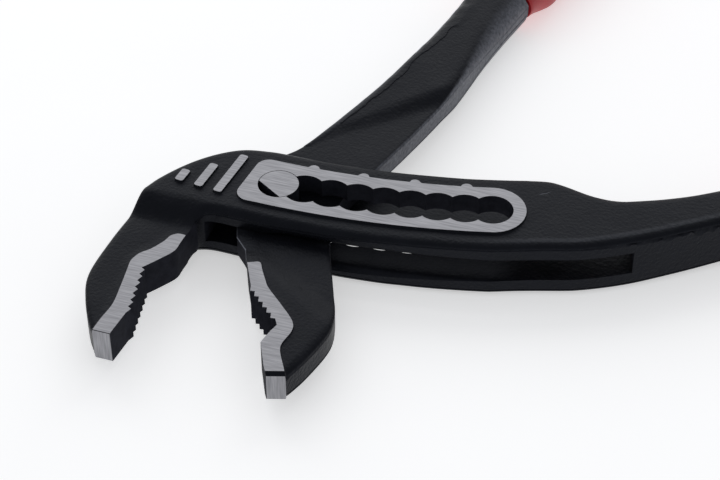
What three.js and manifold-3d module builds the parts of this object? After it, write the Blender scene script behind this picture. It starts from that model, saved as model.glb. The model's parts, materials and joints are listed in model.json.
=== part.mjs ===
// Water pump pliers with a box joint: two forged halves, a pivot pin and two grip sleeves.
// The origin is the pin's axis in its first position. X runs along the channel there, Y points to the
// handles' far side, and Z = 0 is the underside of the ground ring, on which the tool lies.
import * as THREE from 'three';
import { mergeVertices } from 'three/addons/utils/BufferGeometryUtils.js';
import Module from 'manifold-3d';

const wasm = await Module();
wasm.setup();

// Channel and pin, in millimetres
const PITCH = 6;
const POSITIONS = 9;
const CHANNEL_RADIUS = 187;
const PIN_DIAMETER = 9;
const PIN_PLAY = 0.15;
const FLAT_PLAY = 0.3;
const BORE_PLAY = 0.3;
const BOSS_WALL = 5.2;

// Box joint
const TONGUE_THICKNESS = 5.2;
const SLIDE_PLAY = 0.3;
const CHEEK_THICKNESS = 4;
const RING_WIDTH = 2.8;
const BOX_MARGIN = 4.3;
const LAND_HEIGHT = 0.6;
const WINDOW_BEHIND = 14.2;
const WINDOW_BEYOND = 29.5;
const WINDOW_LEAN = 0.6;
const RING_CORNER = 3;
const PLATE_BEVEL_WIDTH = 1.8;
const PLATE_BEVEL_HEIGHT = 1;

// Raised bars on the head and position marks on the ring
const BAR_WIDTH = 2;
const BAR_SPACING = 4.75;
const BAR_LEAN = 6.5;
const BAR_LENGTHS = [13.8, 8.3, 4];
const BAR_FOOT = 6.6;
const BAR_FOOT_STEP = 0.5;
const MARK_RADIUS = 1.25;
const MARK_RISE = 1;
const MARK_EVERY = 2;

// Jaws
const JAW_THICKNESS = 8.1;
const JAW_LAND_HEIGHT = 0.35;
const STRIP_WIDTH = 3.6;
const JAW_BEVEL = 1.2;
const TOOTH_DEPTH = 0.8;
const TOOTH_LEAN = 0.32;
const FIXED_TEETH = 7;
const MOVING_TEETH = 6;
const HEAD_RAMP_START = 10.4;
const HEAD_RAMP_RUN = 6.1;

// Turning range of the inner half from the drawn pose, and the ramps that make room for it
const OPEN_ANGLE = 32;
const CLOSE_ANGLE = 36;
const JAW_RAMP_RUN = 6;
const HANDLE_RAMP_ANGLE = 43.8;
const HANDLE_RAMP_FOOT = 16.3;
const HANDLE_RAMP_RUN = 3;
const HANDLE_RAMP_THICKNESS = 8.6;

// Handles and grips
const SLOTTED_SHANK_THICKNESS = 12.6;
const SLOTTED_SHANK_WIDTH = 9.9;
const SLOTTED_SHANK_LENGTH = 59.3;
const SLOTTED_SHANK_RISE = 9.6;
const SLOTTED_HANDLE_ANGLE = 22.3;
const INNER_SHANK_THICKNESS = 11;
const INNER_SHANK_WIDTH = 14;
const INNER_SHANK_LENGTH = 94.2;
const INNER_SHANK_OFFSET = 26.4;
const INNER_HANDLE_ANGLE = 72.6;
const HANDLE_BOW = 2.5;
const TANG_THICKNESS = 8.4;
const TANG_WIDTH = 8.6;
const TANG_ROOT = 3;
const GRIP_LENGTH = 105;
const GRIP_WIDTH = 17;
const GRIP_FLARE = 2.4;
const GRIP_FLARE_SHARE = 0.14;
const GRIP_BELLY = 1.1;
const GRIP_END_WALL = 5;
const GRIP_PLAY = 0.3;
const GRIP_BEVEL = 3.6;

// Plan outlines of the forgings: points from the pin's axis
const HEAD_SIDE = [[-6.2, 11.5], [-13.2, 9.8], [-20.7, 3.7], [-26.6, -4.8], [-27.9, -9]];
const HEAD_CORNER = [-27.2, -10.6];
const FIXED_GRIP = [[-14.8, -18.6], [-15.2, -24.2], [-19.9, -31.5], [-17.6, -45.6], [-18.3, -52.4]];
const FIXED_TIP = [-22.3, -52.4];
const FIXED_BACK = [[-24.4, -49.6], [-27.9, -43.3], [-30.3, -36.8], [-30.3, -25], [-28.6, -9]];
const FIXED_ROOT = [-24, -5];
const TONGUE_LEFT = [[-4.6, -14.5], [-1.2, -18]];
const MOVING_GRIP = [[1.1, -23.1], [4.4, -29.7], [12.7, -37.5], [13.7, -39.2], [12.2, -45], [15.2, -51.3],
  [16.4, -53.3]];
const MOVING_TIP = [20.2, -52.1];
const MOVING_BACK = [[22.4, -45.9], [24.4, -36], [21.6, -25.7], [16, -11.9]];
const MOVING_ROOT = [[13, -8], [3, -8]];
const HANDLE_LEFT = [[15, 68.7], [10.4, 49.7], [5, 34.5], [-4.4, 15.6]];
const HANDLE_RIGHT = [[17, 16], [22, 33.5], [25.9, 49.7], [29, 68.7]];

// Edges of the slotted shank: [distance past the last position, distance in from the box's edge]
const SHANK_NEAR = [[10, 0.9], [19.3, 1.55], [30.3, 4.25], [42, 8.65]];
const SHANK_FAR = [[43.8, 2.85], [34.9, 4.95], [28.3, 5.85], [23, 4.75], [16, 1.25], [12.8, 0.1]];
const BOX_LEAD = 8;
const HEAD_LEAD = 15;

// Sizes that follow from the driving ones
const TRAVEL = PITCH * (POSITIONS - 1);
const PIN_RADIUS = PIN_DIAMETER / 2;
const HOLE_RADIUS = PIN_RADIUS + PIN_PLAY;
const NECK_HALF = Math.sqrt(HOLE_RADIUS ** 2 - (PITCH / 2) ** 2);
const RING_HALF = HOLE_RADIUS + RING_WIDTH;
const BOX_HALF = RING_HALF + BOX_MARGIN;
const BOX_GAP = TONGUE_THICKNESS + 2 * SLIDE_PLAY;
const BOX_THICKNESS = BOX_GAP + 2 * CHEEK_THICKNESS;
const RING_THICKNESS = BOX_THICKNESS + 2 * LAND_HEIGHT;
const MID_HEIGHT = RING_THICKNESS / 2;
const JAW_BODY_THICKNESS = JAW_THICKNESS - 2 * JAW_LAND_HEIGHT;
const RAMP_FOOT = BOX_HALF + SLIDE_PLAY;
const GRIP_THICKNESS = RING_THICKNESS;
const REACH = 400;

// Small tools for points, curves and solids
const v2 = (x, y) => new THREE.Vector2(x, y);
const points = (...pairs) => pairs.map(([x, y]) => v2(x, y));
const radians = THREE.MathUtils.degToRad;

function curveThrough(list) {
  const through = list.map((p) => new THREE.Vector3(p.x, p.y, 0));
  return new THREE.CatmullRomCurve3(through, false, 'centripetal');
}

function smooth(list, stepsEach) {
  const sampled = curveThrough(list).getPoints(stepsEach * (list.length - 1));
  return sampled.map((p) => v2(p.x, p.y));
}

function arc(centre, radius, from, to, steps) {
  const list = [];
  for (let i = 0; i <= steps; i += 1) {
    const angle = from + ((to - from) * i) / steps;
    list.push(v2(centre.x + radius * Math.cos(angle), centre.y + radius * Math.sin(angle)));
  }
  return list;
}

function solidOf(geometry) {
  geometry.deleteAttribute('normal');
  geometry.deleteAttribute('uv');
  const merged = mergeVertices(geometry, 1e-4);
  const vertProperties = new Float32Array(merged.attributes.position.array);
  const triVerts = new Uint32Array(merged.index.array);
  return new wasm.Manifold(new wasm.Mesh({ numProp: 3, vertProperties, triVerts }));
}

// A flat solid of a plan outline, centred on the middle of the tool's thickness
function slab(outline, thickness, bevelWidth = 0, bevelHeight = 0) {
  const geometry = new THREE.ExtrudeGeometry(new THREE.Shape(outline), {
    depth: thickness - 2 * bevelHeight,
    bevelEnabled: bevelWidth > 0,
    bevelSize: bevelWidth,
    bevelOffset: -bevelWidth,
    bevelThickness: bevelHeight,
    bevelSegments: 2,
  });
  geometry.translate(0, 0, MID_HEIGHT - thickness / 2 + bevelHeight);
  return solidOf(geometry);
}

// A prism whose section lies upright along a heading in plan: [distance from the pin, half thickness]
function wedge(section, heading) {
  const upper = section.map(([along, half]) => v2(along, half));
  const lower = section.map(([along, half]) => v2(along, -half)).reverse();
  const geometry = new THREE.ExtrudeGeometry(new THREE.Shape([...upper, ...lower]), {
    depth: 2 * REACH,
    bevelEnabled: false,
  });
  geometry.translate(0, 0, -REACH);
  const along = new THREE.Vector3(Math.cos(heading), Math.sin(heading), 0);
  const up = new THREE.Vector3(0, 0, 1);
  const across = new THREE.Vector3().crossVectors(along, up);
  geometry.applyMatrix4(new THREE.Matrix4().makeBasis(along, up, across));
  geometry.translate(0, 0, MID_HEIGHT);
  return solidOf(geometry);
}

function meshOf(name, solid, material) {
  const { vertProperties, triVerts } = solid.getMesh();
  const geometry = new THREE.BufferGeometry();
  geometry.setAttribute('position', new THREE.BufferAttribute(vertProperties, 3));
  geometry.setIndex(new THREE.BufferAttribute(triVerts, 1));
  geometry.computeVertexNormals();
  const mesh = new THREE.Mesh(geometry, material);
  mesh.name = name;
  return mesh;
}

// The channel: points by distance along its centre line and offset towards its centre of curvature
function onChannel(along, offset) {
  const angle = along / CHANNEL_RADIUS;
  const radius = CHANNEL_RADIUS - offset;
  return v2(radius * Math.sin(angle), CHANNEL_RADIUS - radius * Math.cos(angle));
}

function band(from, to, offset, steps) {
  const list = [];
  for (let i = 0; i <= steps; i += 1) {
    list.push(onChannel(from + ((to - from) * i) / steps, offset));
  }
  return list;
}

// Points past the last position, in the direction that the channel has there
function pastChannel(...pairs) {
  const end = onChannel(TRAVEL, 0);
  const turn = TRAVEL / CHANNEL_RADIUS;
  return points(...pairs).map((p) => p.rotateAround(v2(0, 0), turn).add(end));
}

// The channel's scalloped edge: one round bite for each position of the pin
function channelOutline() {
  const half = Math.asin(PITCH / 2 / HOLE_RADIUS);
  const right = Math.PI / 2;
  const list = [];
  for (let k = 0; k < POSITIONS; k += 1) {
    const tilt = (k * PITCH) / CHANNEL_RADIUS;
    const from = k === 0 ? -2 * right : -right - half;
    const to = k === POSITIONS - 1 ? 0 : -right + half;
    list.push(...arc(onChannel(k * PITCH, 0), HOLE_RADIUS, tilt + from, tilt + to, 8));
  }
  for (let k = POSITIONS - 1; k >= 0; k -= 1) {
    const tilt = (k * PITCH) / CHANNEL_RADIUS;
    const from = k === POSITIONS - 1 ? 0 : right - half;
    const to = k === 0 ? 2 * right : right + half;
    list.push(...arc(onChannel(k * PITCH, 0), HOLE_RADIUS, tilt + from, tilt + to, 8));
  }
  return withoutRepeats(list);
}

function withoutRepeats(list) {
  return list.filter((p, i) => p.distanceTo(list[(i + 1) % list.length]) > 0.02);
}

// Ground ring round the channel: leaning end with round corners at the head, round end at the handle
function ringOutline() {
  const corner = RING_HALF - RING_CORNER;
  const lean = radians(BAR_LEAN);
  const shift = corner * Math.tan(lean);
  const last = onChannel(TRAVEL, 0);
  const turn = TRAVEL / CHANNEL_RADIUS;
  return [
    ...arc(v2(-corner + shift, corner), RING_CORNER, Math.PI / 2, Math.PI - lean, 5),
    ...arc(v2(-corner - shift, -corner), RING_CORNER, Math.PI - lean, Math.PI * 1.5, 5),
    ...band(0, TRAVEL, -RING_HALF, 14).slice(0, -1),
    ...arc(last, RING_HALF, turn - Math.PI / 2, turn + Math.PI / 2, 14),
    ...band(TRAVEL, 0, RING_HALF, 14).slice(1),
  ];
}

function barOutline(index) {
  const lean = radians(BAR_LEAN);
  const foot = v2(-RING_HALF - BAR_SPACING * (index + 1), -BAR_FOOT + BAR_FOOT_STEP * index);
  const half = BAR_WIDTH / 2;
  const length = BAR_LENGTHS[index];
  const box = points([-half, 0], [half, 0], [half, length], [-half, length]);
  return box.map((p) => p.rotateAround(v2(0, 0), -lean).add(foot));
}

// A row of leaning saw teeth between two points, standing out to the left of the way from one to the other
function toothed(from, to, count) {
  const step = to.clone().sub(from).divideScalar(count);
  const out = v2(-step.y, step.x).setLength(TOOTH_DEPTH);
  const list = [];
  for (let i = 0; i < count; i += 1) {
    const root = from.clone().addScaledVector(step, i);
    list.push(root, root.clone().addScaledVector(step, TOOTH_LEAN).add(out));
  }
  return [...list, to];
}

// A line moved sideways to the left of its direction, with mitred corners
function offsetLine(line, distance) {
  return line.map((p, i) => {
    const before = p.clone().sub(line[Math.max(i - 1, 0)]);
    const after = line[Math.min(i + 1, line.length - 1)].clone().sub(p);
    const way1 = (before.length() ? before : after).clone().normalize();
    const way2 = (after.length() ? after : before).clone().normalize();
    const mitre = way1.add(way2).normalize();
    const stretch = distance / Math.max(mitre.dot(way2), 0.5);
    return p.clone().add(v2(-mitre.y, mitre.x).multiplyScalar(stretch));
  });
}

// One jaw: a bevelled forging with a ground strip along the edge that grips, trimmed to its teeth
function jaw({ grip, teethAt, teeth, back, root, gapSide }) {
  const edge = [];
  grip.forEach((p, i) => {
    if (i === teethAt) {
      const row = gapSide > 0
        ? toothed(p, grip[i + 1], teeth)
        : toothed(grip[i + 1], p, teeth).reverse();
      edge.push(...row.slice(0, -1));
    } else {
      edge.push(p);
    }
  });
  const outline = [...root, ...edge, ...back];
  const gapEdge = offsetLine(grip, gapSide * 2 * JAW_BEVEL);
  const blank = slab([...root, ...gapEdge, ...back], JAW_BODY_THICKNESS, JAW_BEVEL, JAW_BEVEL);
  const inner = offsetLine(grip, -gapSide * STRIP_WIDTH);
  const strip = slab([...gapEdge, ...inner.reverse()], JAW_THICKNESS);
  return { solid: blank.add(strip).intersect(slab(outline, BOX_THICKNESS)), outline };
}

// A strip of given half width along part of a curve, ending square or round
function ribbon(curve, from, to, halfWidth, steps, roundEnd = false) {
  const near = [];
  const far = [];
  for (let i = 0; i <= steps; i += 1) {
    const t = from + ((to - from) * i) / steps;
    const centre = curve.getPointAt(t);
    const way = curve.getTangentAt(t);
    const half = halfWidth(i / steps);
    near.push(v2(centre.x + way.y * half, centre.y - way.x * half));
    far.unshift(v2(centre.x - way.y * half, centre.y + way.x * half));
  }
  if (!roundEnd) {
    return [...near, ...far];
  }
  const centre = curve.getPointAt(to);
  const way = curve.getTangentAt(to);
  const heading = Math.atan2(way.y, way.x);
  const cap = arc(centre, halfWidth(1), heading - Math.PI / 2, heading + Math.PI / 2, 12);
  return [...near.slice(0, -1), ...cap, ...far.slice(1)];
}

// Handle centre line from the end of the shank to the end of the grip, bowed away from the other handle
function gripLine(start, angle, bow) {
  const way = v2(Math.cos(angle), Math.sin(angle));
  const side = v2(way.y, -way.x).multiplyScalar(bow);
  const end = start.clone().addScaledVector(way, GRIP_LENGTH);
  const middle = start.clone().add(end).multiplyScalar(0.5).add(side);
  return curveThrough([start, middle, end]);
}

// Tang inside the grip, with a root that runs back into the shank
function tang(line, play) {
  const end = 1 - (GRIP_END_WALL + TANG_WIDTH / 2 - play) / line.getLength();
  const outline = ribbon(line, 0, end, () => TANG_WIDTH / 2 + play, 16, true);
  const back = line.getTangentAt(0).multiplyScalar(-TANG_ROOT);
  const root = [outline[outline.length - 1], outline[0]].map((p) => v2(p.x + back.x, p.y + back.y));
  return [...outline, ...root];
}

// Grip sleeve: flared at its front, slightly fuller in the middle, closed and round at its end
function gripSleeve(line) {
  const half = GRIP_WIDTH / 2;
  const length = line.getLength();
  const outer = (t) => {
    const flare = Math.max(0, 1 - t / GRIP_FLARE_SHARE);
    return half + GRIP_FLARE * flare ** 2 + GRIP_BELLY * Math.sin(Math.PI * t);
  };
  const from = GRIP_PLAY / length;
  const to = 1 - half / length;
  const steps = Math.floor(length / (1.5 * GRIP_BEVEL));
  const body = slab(ribbon(line, from, to, outer, steps, true), GRIP_THICKNESS, GRIP_BEVEL, GRIP_BEVEL);
  const bore = slab(tang(line, GRIP_PLAY), TANG_THICKNESS + 2 * GRIP_PLAY);
  return body.subtract(bore);
}

// Slotted half: fixed jaw, head, the box with its channel, and one handle
const slottedStart = pastChannel([SLOTTED_SHANK_LENGTH, SLOTTED_SHANK_RISE])[0];
const slottedHeading = TRAVEL / CHANNEL_RADIUS + radians(SLOTTED_HANDLE_ANGLE);
const slottedLine = gripLine(slottedStart, slottedHeading, HANDLE_BOW);

function slottedOutline() {
  const shankEnd = ribbon(slottedLine, 0, 0, () => SLOTTED_SHANK_WIDTH / 2, 1).slice(1, 3);
  const nearEdge = pastChannel(...SHANK_NEAR.map(([along, inset]) => [along, inset - BOX_HALF]));
  const farEdge = pastChannel(...SHANK_FAR.map(([along, inset]) => [along, BOX_HALF - inset]));
  return [
    ...points(HEAD_CORNER, [-HEAD_LEAD, -BOX_HALF]),
    ...band(-BOX_LEAD, TRAVEL, -BOX_HALF, 12),
    ...smooth([...nearEdge, shankEnd[0]], 4),
    ...smooth([shankEnd[1], ...farEdge], 4),
    ...band(TRAVEL + BOX_LEAD, 0, BOX_HALF, 12),
    ...smooth(points(...HEAD_SIDE), 4),
  ];
}

function slottedHalf() {
  const full = BOX_THICKNESS / 2;
  const plate = slab(slottedOutline(), BOX_THICKNESS, PLATE_BEVEL_WIDTH, PLATE_BEVEL_HEIGHT);
  const shankTaper = wedge(
    [[-REACH, full], [TRAVEL + WINDOW_BEYOND, full], [slottedStart.length(), SLOTTED_SHANK_THICKNESS / 2],
      [REACH, SLOTTED_SHANK_THICKNESS / 2]],
    Math.atan2(slottedStart.y, slottedStart.x),
  );
  const fixed = jaw({
    root: [v2(-WINDOW_BEHIND - WINDOW_LEAN, FIXED_ROOT[1])],
    grip: points(...FIXED_GRIP),
    teethAt: 2,
    teeth: FIXED_TEETH,
    back: [...points(FIXED_TIP), ...smooth(points(...FIXED_BACK), 4), ...points(FIXED_ROOT)],
    gapSide: 1,
  });
  const edgeHalf = full - PLATE_BEVEL_HEIGHT;
  const jawHalf = JAW_BODY_THICKNESS / 2;
  const headRamp = slab(fixed.outline, BOX_THICKNESS).intersect(wedge(
    [[0, edgeHalf], [HEAD_RAMP_START, edgeHalf], [HEAD_RAMP_START + HEAD_RAMP_RUN, jawHalf]],
    -Math.PI / 2,
  ));
  const tangSolid = slab(tang(slottedLine, 0), TANG_THICKNESS);
  let half = plate.intersect(shankTaper).add(fixed.solid).add(headRamp).add(tangSolid);

  half = half.add(slab(ringOutline(), RING_THICKNESS));
  BAR_LENGTHS.forEach((length, index) => {
    half = half.add(slab(barOutline(index), RING_THICKNESS));
  });
  for (let k = 1; k < POSITIONS - 1; k += MARK_EVERY) {
    const centre = onChannel(k * PITCH, RING_HALF + MARK_RISE - MARK_RADIUS);
    half = half.add(slab(arc(centre, MARK_RADIUS, 0, 2 * Math.PI, 10).slice(1), RING_THICKNESS));
  }

  const through = 2 * BOX_HALF;
  const windowEnd = pastChannel([WINDOW_BEYOND, -through], [WINDOW_BEYOND, through]);
  const windowNear = v2(-WINDOW_BEHIND, -through);
  const windowFar = v2(-WINDOW_BEHIND + WINDOW_LEAN, through);
  const window = slab([windowNear, ...windowEnd, windowFar], BOX_GAP);
  const jawClear = slab(fixed.outline, BOX_GAP);
  return half.subtract(window.subtract(jawClear)).subtract(slab(channelOutline(), REACH));
}

// Inner half: moving jaw, thin tongue through the box, ramp and the other handle
const innerStart = v2(INNER_SHANK_OFFSET, INNER_SHANK_LENGTH);
const innerLine = gripLine(innerStart, radians(INNER_HANDLE_ANGLE), -HANDLE_BOW);

function innerHalf() {
  const [shankRight, shankLeft] = ribbon(innerLine, 0, 0, () => INNER_SHANK_WIDTH / 2, 1).slice(1, 3);
  const handleLeft = smooth([shankLeft, ...points(...HANDLE_LEFT)], 4);
  const handleRight = smooth([...points(...HANDLE_RIGHT), shankRight], 4);
  const boss = PIN_RADIUS + BOSS_WALL;
  const tongueLeft = [
    ...arc(v2(0, 0), boss, Math.PI * 0.78, Math.PI * 1.2, 8),
    ...points(...TONGUE_LEFT),
  ];
  const moving = jaw({
    root: points(...MOVING_ROOT, TONGUE_LEFT[0]),
    grip: points(...MOVING_GRIP),
    teethAt: 1,
    teeth: MOVING_TEETH,
    back: [...points(MOVING_TIP), ...smooth(points(...MOVING_BACK), 4)],
    gapSide: -1,
  });
  const tongue = slab(
    [...handleLeft.slice(10), ...tongueLeft, ...points(MOVING_GRIP[0], ...MOVING_BACK.slice(-2)),
      ...handleRight.slice(0, 10)],
    TONGUE_THICKNESS,
  );
  const tongueHalf = TONGUE_THICKNESS / 2;
  const jawHalf = JAW_THICKNESS / 2;
  const jawRamp = (turn) => wedge(
    [[0, tongueHalf], [RAMP_FOOT, tongueHalf], [RAMP_FOOT + JAW_RAMP_RUN, jawHalf], [REACH, jawHalf]],
    -Math.PI / 2 + turn,
  );
  const jawSolid = moving.solid
    .intersect(jawRamp(-radians(OPEN_ANGLE)))
    .intersect(jawRamp(radians(CLOSE_ANGLE)));

  const handleRamp = wedge(
    [[HANDLE_RAMP_FOOT, tongueHalf], [HANDLE_RAMP_FOOT + HANDLE_RAMP_RUN, HANDLE_RAMP_THICKNESS / 2],
      [INNER_SHANK_LENGTH / 2, INNER_SHANK_THICKNESS / 2], [REACH, INNER_SHANK_THICKNESS / 2]],
    Math.PI / 2 + radians(HANDLE_RAMP_ANGLE),
  );
  const shank = slab([...handleLeft, ...handleRight], INNER_SHANK_THICKNESS, PLATE_BEVEL_WIDTH,
    PLATE_BEVEL_WIDTH).intersect(handleRamp);
  const tangSolid = slab(tang(innerLine, 0), TANG_THICKNESS);
  const bore = slab(arc(v2(0, 0), PIN_RADIUS + BORE_PLAY, 0, 2 * Math.PI, 32).slice(1), REACH);
  return tongue.add(jawSolid).add(shank).add(tangSolid).subtract(bore);
}

// Pivot pin: flush with the ring on both faces, with a flat on each side that lets it pass the necks
function pivotPin() {
  const round = slab(arc(v2(0, 0), PIN_RADIUS, 0, 2 * Math.PI, 40).slice(1), RING_THICKNESS);
  const flat = NECK_HALF - FLAT_PLAY;
  const between = slab(points([-REACH, -flat], [REACH, -flat], [REACH, flat], [-REACH, flat]), REACH);
  return round.intersect(between);
}

// Finishes
function forgedSteel() {
  return new THREE.MeshStandardMaterial({ color: 0x2a2b2f, roughness: 0.62, metalness: 0.4 });
}

function groundSteel() {
  return new THREE.MeshStandardMaterial({ color: 0xc9c9cb, roughness: 0.35, metalness: 1 });
}

function redPlastic() {
  return new THREE.MeshStandardMaterial({ color: 0xa8121c, roughness: 0.5, metalness: 0 });
}

const pliers = new THREE.Group();
pliers.add(meshOf('slotted_half', slottedHalf(), forgedSteel()));
pliers.add(meshOf('inner_half', innerHalf(), forgedSteel()));
pliers.add(meshOf('pivot_pin', pivotPin(), groundSteel()));
pliers.add(meshOf('slotted_half_grip', gripSleeve(slottedLine), redPlastic()));
pliers.add(meshOf('inner_half_grip', gripSleeve(innerLine), redPlastic()));

export default pliers;
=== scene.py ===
import json
import math
import bpy
import numpy as np
from mathutils import Matrix, Vector, geometry, noise


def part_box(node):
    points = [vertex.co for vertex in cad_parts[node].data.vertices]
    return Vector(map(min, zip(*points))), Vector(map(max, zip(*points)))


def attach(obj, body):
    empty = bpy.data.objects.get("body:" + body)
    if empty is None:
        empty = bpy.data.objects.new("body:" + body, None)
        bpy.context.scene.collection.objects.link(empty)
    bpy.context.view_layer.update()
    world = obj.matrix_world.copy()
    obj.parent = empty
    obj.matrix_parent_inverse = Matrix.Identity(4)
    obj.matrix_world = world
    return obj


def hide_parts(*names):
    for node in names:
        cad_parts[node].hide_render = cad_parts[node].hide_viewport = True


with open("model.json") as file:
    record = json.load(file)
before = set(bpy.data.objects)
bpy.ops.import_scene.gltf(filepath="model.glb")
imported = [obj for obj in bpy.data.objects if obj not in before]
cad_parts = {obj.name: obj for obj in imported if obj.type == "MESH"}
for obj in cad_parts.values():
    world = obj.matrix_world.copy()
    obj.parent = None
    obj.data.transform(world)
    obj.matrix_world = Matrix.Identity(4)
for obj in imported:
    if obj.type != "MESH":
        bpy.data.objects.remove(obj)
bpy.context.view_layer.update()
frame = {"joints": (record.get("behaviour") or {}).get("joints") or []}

# Slotted half
# One drop forging of tool steel: the fixed jaw, the head, the two cheeks of the box joint and a handle.
# It is trimmed, blackened and lacquered; the ring, bars, jaw strip and tip are then ground bright.
# Sizes are in millimetres, and plan points are in the frame's X and Y.
MM = 0.001
half_low, half_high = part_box("slotted_half")
MIDDLE = (half_low.z + half_high.z) / 2 / MM
RING_TOP = (half_high.z - half_low.z) / 2 / MM
adjust = next(joint for joint in frame["joints"] if joint["name"] == "adjust")
CHANNEL_RADIUS = adjust["pos_m"][1] / MM
TRAVEL = math.radians(adjust["range_deg"][1]) * CHANNEL_RADIUS
POSITIONS = 9
PITCH = TRAVEL / (POSITIONS - 1)
HOLE_RADIUS = 4.65
RING_EDGE = 7.45
RING_CORNER = 3.0
BOX_EDGE = 11.75
PLATE_TOP = 6.9
JAW_TOP = 3.7
STRIP_TOP = 4.05
SHANK_TOP = 6.3
TANG_TOP = 4.2
HEAD_RAMP_START = 9.6
HEAD_RAMP_END = 16.8
BAR_WIDTH = 2.0
BAR_CORNER = 0.55
BAR_SPACING = 4.75
BAR_LENGTHS = (13.8, 8.3, 4.0)
BAR_FOOT = 6.6
BAR_FOOT_STEP = 0.5
BAR_LEAN = math.radians(6.5)
BAR_CORNER_SPACING = 0.2
MARK_HALF_WIDTH = 1.25
MARK_RISE = 1.0
MARK_EVERY = 2
TOOTH_DEPTH = 0.8
TOOTH_LEAN = 0.32
FIXED_TEETH = 7
FIXED_GRIP_LOW = [(-18.3, -52.4), (-17.6, -45.6)]
FIXED_GRIP_HIGH = [(-19.9, -31.5), (-17.1, -27.5), (-15.2, -24.2), (-15.0, -21.5), (-14.8, -18.6)]
FIXED_TIP = (-22.3, -52.4)
FIXED_BACK = [(-28.5, -9.2), (-29.5, -16.5), (-30.3, -25), (-30.3, -36.8), (-27.9, -43.3), (-24.4, -49.6),
              FIXED_TIP]
FIXED_STRIP = [(-14.2, -18.9), (-16.6, -18.9), (-17.9, -20), (-18.5, -21.9), (-20.4, -25.4), (-22, -27.2),
               (-22.7, -28.8), (-23, -30.3), (-22.7, -32.5), (-21.9, -38.2), (-21.3, -44), (-21.9, -48.8),
               (-22.25, -53.4)]
FIXED_STRIP_GAP = [(-12, -54), (-8, -40), (-10, -19)]
HEAD_SIDE = [(0, 11.75), (-6.2, 11.5), (-13.2, 9.8), (-20.7, 3.7), (-26.6, -4.8), (-28.5, -9.2)]
JAW_ROOT = [(-14.8, -18.6), (-14.6, -16), (-14.25, -14)]
HEAD_CORNER = [(-13.2, -12.3), (-11.5, -11.7)]
NEAR_BAND_START = -8
FAR_BAND_PAST = 8
BAND_POINTS = 80
RING_POINTS = 60
SHANK_NEAR = [(10, 0.9), (19.3, 1.55), (30.3, 4.25), (42, 8.65)]
SHANK_FAR = [(43.8, 2.85), (34.9, 4.95), (28.3, 5.85), (23, 4.75), (16, 1.25), (12.8, 0.1)]
SHANK_END = (59.3, 9.6)
SHANK_WIDTH = 9.9
TANG_WIDTH = 8.6
GRIP_LENGTH = 105
GRIP_END_WALL = 5
HANDLE_BOW = 2.5
SLOTTED_HANDLE_ANGLE = math.radians(22.3)
WINDOW_TOP = 2.9
WINDOW_START = -13.3
WINDOW_LEAN = 0.6
WINDOW_END = 31.0
WINDOW_MOUTH = 1.65
WINDOW_MOUTH_START = (0, 6)
WINDOW_MOUTH_END = (14, 62)
WINDOW_MOUTH_PAST = 4
WINDOW_MOUTH_ROWS = (-0.3, 0.02, 0.15, 0.4, 0.8, 1.5)
EDGE_WIDTH = 2.0
EDGE_DROP = 1.0
FIXED_TIP_CHAMFER = (0.12, 0.12)
SHOULDER = 0.05
SHOULDER_STEPS = (-0.02, 0.12)
SKIN_WAVE_SIZE = 7
SLOTTED_SKIN_WAVE = 0.09
TORN_FROM = (66, 92)
WAVE_SLICE = 0.3
TEAR_SIZE = 1.3
TEAR_WAVE = 1.6
TEAR_OFFSET = 40
TEAR_INSET = 0.45
TEAR_DEPTH = 0.8
# Grey of rubbed-off lacquer; the same grey is also painted on as highlights and reflections.
RUBBED_AND_SHEEN_COLOUR = "#8d9099"
# A painted highlight: a faint light line along the top of the near rounded edge.
PAINTED_EDGE_HIGHLIGHT = 0.22
PAINTED_EDGE_HIGHLIGHT_WIDTH = 0.4
PAINTED_EDGE_HIGHLIGHT_FROM = (40, 62)
SCRATCH = [(56.2, 15.2), (57.3, 15.9)]
SCRATCH_HALF_WIDTH = 0.12
SCRATCH_SPACING = 0.3
FINISHES = ("forged", "ground", "cut")
LAND_ROWS = (0.0, 0.08, 0.2, 0.5)
EDGE_ROWS = (0.06, 0.2, 0.42, 0.75, 1.2, 1.7, 2.3, 3.0)
GROOVE_ROWS = ((0.0, 0.0), (0.18, 0.16), (0.42, 0.0), (0.5, 0.0))
RIM_SPACING = 0.7
ROUND_SPACING = 0.5
STRIP_SPACING = 0.6
FINE_SPACING = 0.4
MARK_SPACING = 0.35
TANG_SPACING = 1.5
TANG_EVERY = 3
HANDLE_SPACING = 1.0
WALL_SPACING = 3
FILL_SPACING = 1.4
FILL_ROW_SHARE = 0.87
SAME_POINT = 0.02
SHARPEST_SHIFT = 0.6
ROW_CLEARANCE = 0.9
POINT_CLEARANCE = 0.1
RIM_CLEARANCE = 0.3
GRID_CLEARANCE = 0.4
BLOCK_SIZE = 400
SHARP_ANGLE = math.radians(38)
GRINDING_HEADING = math.radians(20)
GRINDING_STRETCH = 0.06


def on_channel(along, offset):
    """Plan points at a distance along the channel's arc and an offset towards its centre."""
    angle = np.asarray(along, float) / CHANNEL_RADIUS
    radius = CHANNEL_RADIUS - offset
    return np.stack([radius * np.sin(angle), CHANNEL_RADIUS - radius * np.cos(angle)], -1)


def past_channel(pairs):
    """Plan points of (along, across) pairs counted from the channel's last position."""
    turn = TRAVEL / CHANNEL_RADIUS
    along, across = np.array(pairs, float).T
    turned = np.stack([along * math.cos(turn) - across * math.sin(turn),
                       along * math.sin(turn) + across * math.cos(turn)], -1)
    return turned + on_channel(TRAVEL, 0)


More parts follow.
